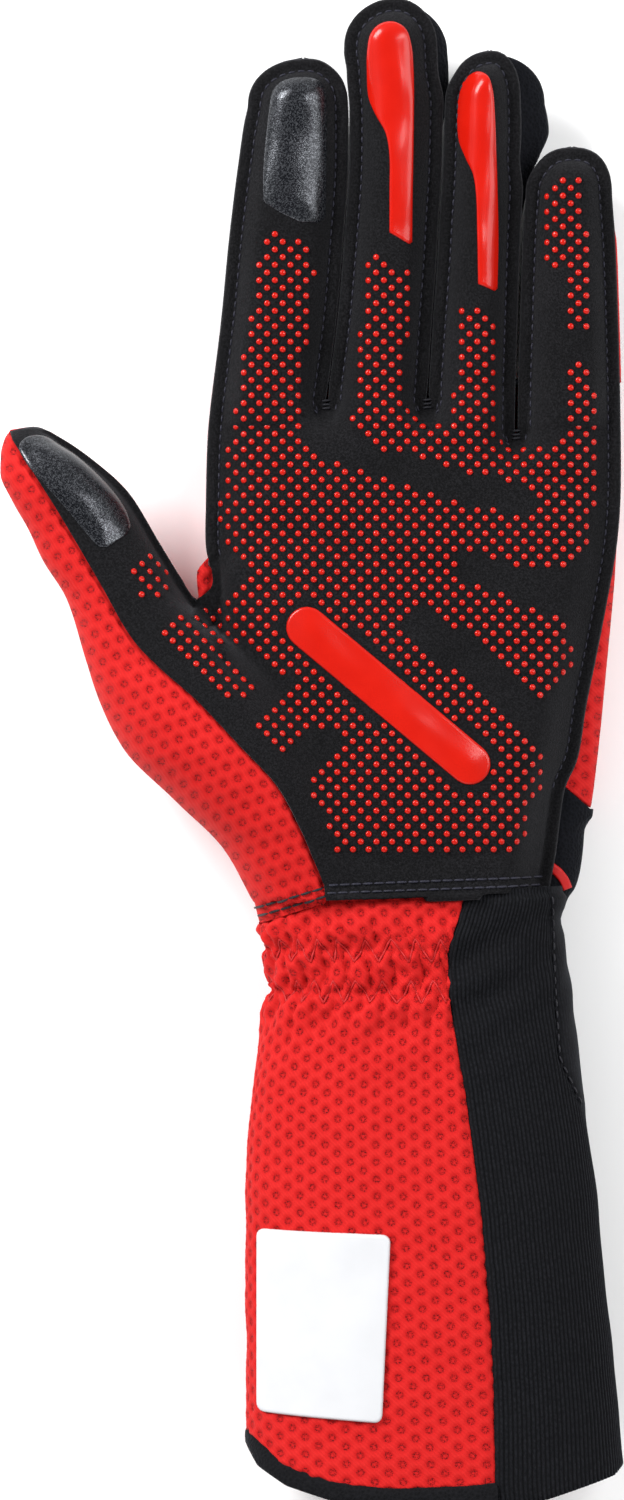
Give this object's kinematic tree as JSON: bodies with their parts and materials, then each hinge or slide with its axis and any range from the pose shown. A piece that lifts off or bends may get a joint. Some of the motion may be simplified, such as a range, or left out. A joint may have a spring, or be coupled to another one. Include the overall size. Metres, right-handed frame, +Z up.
{
  "type": "racing glove",
  "caption": "Left-hand racing glove with a long cuff: suede palm with raised grip dots, red mesh back, knit finger backs, touch pads and a ribbed cuff panel.",
  "frame": {"origin": "middle of the underside of the glove's box as it lies on its back on a surface", "axes": "+X across the palm towards the little finger, +Y from the cuff to the finger tips, +Z up out of the palm"},
  "size_m": [0.1424, 0.3441, 0.0439],
  "materials": {
    "suede": "matt napped suede",
    "red_mesh": "perforated mesh",
    "knit": "fine stretch knit",
    "rib_knit": "ribbed stretch knit",
    "binding": "woven tape",
    "label": "smooth coated patch",
    "touch_pad": "glossy film",
    "grip_print": "glossy raised print"
  },
  "bodies": {
    "root": {"palm_panel": "suede", "hand_back": "red_mesh", "index_back": "knit", "middle_back": "knit", "ring_back": "knit", "little_back": "knit", "wrist_tab": "suede", "wrist_stripe": "red_mesh", "cuff_mesh_panel": "red_mesh", "cuff_rib_panel": "rib_knit", "hem_binding": "binding", "label_patch": "label", "index_pad": "touch_pad", "thumb_pad": "touch_pad", "middle_grip_stripe": "grip_print", "ring_grip_stripe": "grip_print", "palm_grip_bar": "grip_print"}
  },
  "joints": []
}
